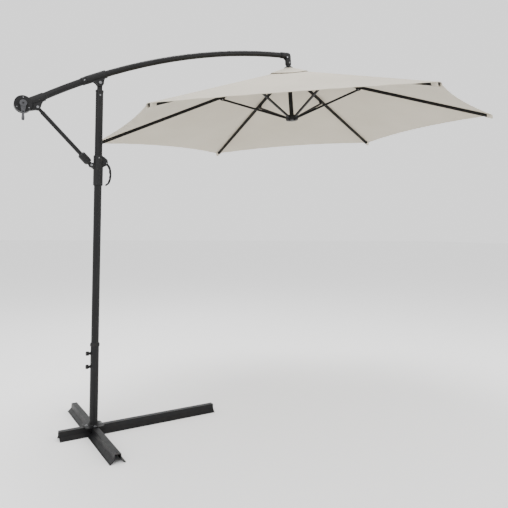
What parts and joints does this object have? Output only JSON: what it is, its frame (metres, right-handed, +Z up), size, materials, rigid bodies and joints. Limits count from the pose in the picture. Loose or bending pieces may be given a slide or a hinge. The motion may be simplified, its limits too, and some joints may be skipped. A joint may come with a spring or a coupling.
{
  "type": "cantilever parasol",
  "caption": "Garden parasol hung from a curved side arm on an upright mast, with a crossed floor base, a tilting arm and a crank-folded canopy.",
  "frame": {"origin": "on the floor, on the mast's axis, at the underside of the base's core", "axes": "+Z up along the mast, +X from the mast towards the canopy, +Y to the left when facing the canopy"},
  "size_m": [3.1734, 3, 2.6059],
  "materials": {
    "powder_black": "satin black powder coat",
    "moulded_black": "fine-textured moulded nylon",
    "zinc_steel": "zinc-plated fasteners",
    "crank_grey": "dark grey painted",
    "canopy_cloth": "cream woven polyester",
    "rope_cord": "braided cord"
  },
  "bodies": {
    "base": {"base_long_leg": "powder_black", "base_cross_leg": "powder_black", "base_core": "moulded_black", "base_plate": "powder_black", "base_tube": "powder_black", "tube_collar": "moulded_black"},
    "thumb_screw_upper": {"thumb_screw_upper": "moulded_black"},
    "thumb_screw_lower": {"thumb_screw_lower": "moulded_black"},
    "mast": {"mast_tube": "powder_black", "mast_fork": "moulded_black", "fork_screw": "zinc_steel", "arm_pivot_bolt": "zinc_steel"},
    "slider": {"slider_body": "moulded_black", "slider_bush_upper": "moulded_black", "slider_bush_lower": "moulded_black", "lever_pin": "zinc_steel", "strut_lower_pin": "zinc_steel"},
    "lever": {"handle_lever": "moulded_black"},
    "strut": {"strut_tube": "powder_black", "strut_socket": "moulded_black", "strut_top_end": "moulded_black"},
    "arm": {"arm_front_tube": "powder_black", "arm_rear_tube": "powder_black", "arm_bracket": "moulded_black", "arm_collar": "moulded_black", "crank_housing": "moulded_black", "crank_cover": "moulded_black", "strut_upper_pin": "zinc_steel", "rope_in_arm": "rope_cord", "elbow": "moulded_black", "pulley_pin": "zinc_steel", "head_stub": "moulded_black", "crown": "moulded_black", "centre_tube": "powder_black", "vent_ring": "moulded_black", "vent_cap": "canopy_cloth", "rope_drop": "rope_cord"},
    "crank": {"rope_drum": "moulded_black", "crank_handle": "crank_grey"},
    "crank_grip": {"crank_grip": "crank_grey"},
    "pulley": {"rope_pulley": "moulded_black"},
    "runner": {"runner_hub": "moulded_black"},
    "rib_1": {"rib_1": "powder_black", "canopy_panel_1": "canopy_cloth"},
    "brace_1": {"brace_1": "powder_black"},
    "rib_2": {"rib_2": "powder_black", "canopy_panel_2": "canopy_cloth"},
    "brace_2": {"brace_2": "powder_black"},
    "rib_3": {"rib_3": "powder_black", "canopy_panel_3": "canopy_cloth"},
    "brace_3": {"brace_3": "powder_black"},
    "rib_4": {"rib_4": "powder_black", "canopy_panel_4": "canopy_cloth"},
    "brace_4": {"brace_4": "powder_black"},
    "rib_5": {"rib_5": "powder_black", "canopy_panel_5": "canopy_cloth"},
    "brace_5": {"brace_5": "powder_black"},
    "rib_6": {"rib_6": "powder_black", "canopy_panel_6": "canopy_cloth"},
    "brace_6": {"brace_6": "powder_black"}
  },
  "joints": [
    {"name": "mast_swivel", "type": "hinge", "parent": "base", "child": "mast", "pos_m": [0, 0, 0.5], "axis": [0, 0, 1], "range_deg": [-180, 180]},
    {"name": "thumb_upper_turn", "type": "hinge", "parent": "base", "child": "thumb_screw_upper", "pos_m": [0, 0, 0.497], "axis": [-0.9967, -0.0812, 0], "range_deg": [0, 720]},
    {"name": "thumb_lower_turn", "type": "hinge", "parent": "base", "child": "thumb_screw_lower", "pos_m": [0, 0, 0.416], "axis": [-0.9967, -0.0812, 0], "range_deg": [0, 720]},
    {"name": "slider_lift", "type": "slide", "parent": "mast", "child": "slider", "axis": [0, 0, 1], "range_m": [-0.21098, 0.045]},
    {"name": "arm_tilt", "type": "hinge", "parent": "mast", "child": "arm", "pos_m": [0, 0, 2.18], "axis": [0, 1, 0], "range_deg": [-25.2, 5.63]},
    {"name": "strut_swing", "type": "hinge", "parent": "slider", "child": "strut", "pos_m": [-0.042, 0, 1.662], "axis": [0, 1, 0], "range_deg": [-4.17, 18.46]},
    {"name": "lever_pull", "type": "hinge", "parent": "slider", "child": "lever", "pos_m": [0.049, 0, 1.678], "axis": [0, -1, 0], "range_deg": [0, 18], "stiffness_Nm_per_rad": 1.5, "springref_deg": -5.73},
    {"name": "runner_drop", "type": "slide", "parent": "arm", "child": "runner", "axis": [0.0918, 0, -0.9958], "range_m": [0, 0.66873], "deforming": ["rope_drop"]},
    {"name": "crank_turn", "type": "hinge", "parent": "arm", "child": "crank", "pos_m": [-0.431, 0, 1.992], "axis": [0, 1, 0], "range_deg": [-5, 2399.72]},
    {"name": "crank_grip_fold", "type": "hinge", "parent": "crank", "child": "crank_grip", "pos_m": [-0.431, -0.0415, 1.938], "axis": [-1, 0, 0], "range_deg": [0, 90]},
    {"name": "pulley_turn", "type": "hinge", "parent": "arm", "child": "pulley", "pos_m": [1.33411, 0, 2.56285], "axis": [0, 1, 0], "range_deg": [-5, 2327.16]},
    {"name": "rib_1_fold", "type": "hinge", "parent": "arm", "child": "rib_1", "pos_m": [1.39228, -0.018, 2.45559], "axis": [0.4979, 0.866, 0.0459], "range_deg": [-0.5, 69.01], "deforming": ["canopy_panel_1"]},
    {"name": "brace_1_swing", "type": "hinge", "parent": "rib_1", "child": "brace_1", "pos_m": [1.81563, -0.25488, 2.33286], "axis": [0.4979, 0.866, 0.0459], "range_deg": [-136.13, 0.5]},
    {"name": "rib_2_fold", "type": "hinge", "parent": "arm", "child": "rib_2", "pos_m": [1.39228, 0.018, 2.45559], "axis": [-0.4979, 0.866, -0.0459], "range_deg": [-0.5, 69.01], "deforming": ["canopy_panel_2"]},
    {"name": "brace_2_swing", "type": "hinge", "parent": "rib_2", "child": "brace_2", "pos_m": [1.81563, 0.25488, 2.33286], "axis": [-0.4979, 0.866, -0.0459], "range_deg": [-136.13, 0.5]},
    {"name": "rib_3_fold", "type": "hinge", "parent": "arm", "child": "rib_3", "pos_m": [1.36123, 0.036, 2.45272], "axis": [-0.9958, 0, -0.0918], "range_deg": [-0.5, 69.01], "deforming": ["canopy_panel_3"]},
    {"name": "brace_3_swing", "type": "hinge", "parent": "rib_3", "child": "brace_3", "pos_m": [1.37603, 0.50976, 2.29231], "axis": [-0.9958, 0, -0.0918], "range_deg": [-136.13, 0.5]},
    {"name": "rib_4_fold", "type": "hinge", "parent": "arm", "child": "rib_4", "pos_m": [1.33019, 0.018, 2.44986], "axis": [-0.4979, -0.866, -0.0459], "range_deg": [-0.5, 69.01], "deforming": ["canopy_panel_4"]},
    {"name": "brace_4_swing", "type": "hinge", "parent": "rib_4", "child": "brace_4", "pos_m": [0.93643, 0.25488, 2.25176], "axis": [-0.4979, -0.866, -0.0459], "range_deg": [-136.13, 0.5]},
    {"name": "rib_5_fold", "type": "hinge", "parent": "arm", "child": "rib_5", "pos_m": [1.33019, -0.018, 2.44986], "axis": [0.4979, -0.866, 0.0459], "range_deg": [-0.5, 69.01], "deforming": ["canopy_panel_5"]},
    {"name": "brace_5_swing", "type": "hinge", "parent": "rib_5", "child": "brace_5", "pos_m": [0.93643, -0.25488, 2.25176], "axis": [0.4979, -0.866, 0.0459], "range_deg": [-136.13, 0.5]},
    {"name": "rib_6_fold", "type": "hinge", "parent": "arm", "child": "rib_6", "pos_m": [1.36123, -0.036, 2.45272], "axis": [0.9958, 0, 0.0918], "range_deg": [-0.5, 69.01], "deforming": ["canopy_panel_6"]},
    {"name": "brace_6_swing", "type": "hinge", "parent": "rib_6", "child": "brace_6", "pos_m": [1.37603, -0.50976, 2.29231], "axis": [0.9958, 0, 0.0918], "range_deg": [-136.13, 0.5]}
  ],
  "couplings": [
    {"joint": "arm_tilt", "follows": "slider_lift", "rad_per_m": 2.0681},
    {"joint": "strut_swing", "follows": "slider_lift", "rad_per_m": -1.5024},
    {"joint": "crank_turn", "follows": "runner_drop", "rad_per_m": 62.5},
    {"joint": "pulley_turn", "follows": "runner_drop", "rad_per_m": 60.606},
    {"joint": "rib_1_fold", "follows": "runner_drop", "rad_per_m": 1.7881},
    {"joint": "brace_1_swing", "follows": "runner_drop", "rad_per_m": -3.5399},
    {"joint": "rib_2_fold", "follows": "runner_drop", "rad_per_m": 1.7881},
    {"joint": "brace_2_swing", "follows": "runner_drop", "rad_per_m": -3.5399},
    {"joint": "rib_3_fold", "follows": "runner_drop", "rad_per_m": 1.7881},
    {"joint": "brace_3_swing", "follows": "runner_drop", "rad_per_m": -3.5399},
    {"joint": "rib_4_fold", "follows": "runner_drop", "rad_per_m": 1.7881},
    {"joint": "brace_4_swing", "follows": "runner_drop", "rad_per_m": -3.5399},
    {"joint": "rib_5_fold", "follows": "runner_drop", "rad_per_m": 1.7881},
    {"joint": "brace_5_swing", "follows": "runner_drop", "rad_per_m": -3.5399},
    {"joint": "rib_6_fold", "follows": "runner_drop", "rad_per_m": 1.7881},
    {"joint": "brace_6_swing", "follows": "runner_drop", "rad_per_m": -3.5399}
  ]
}
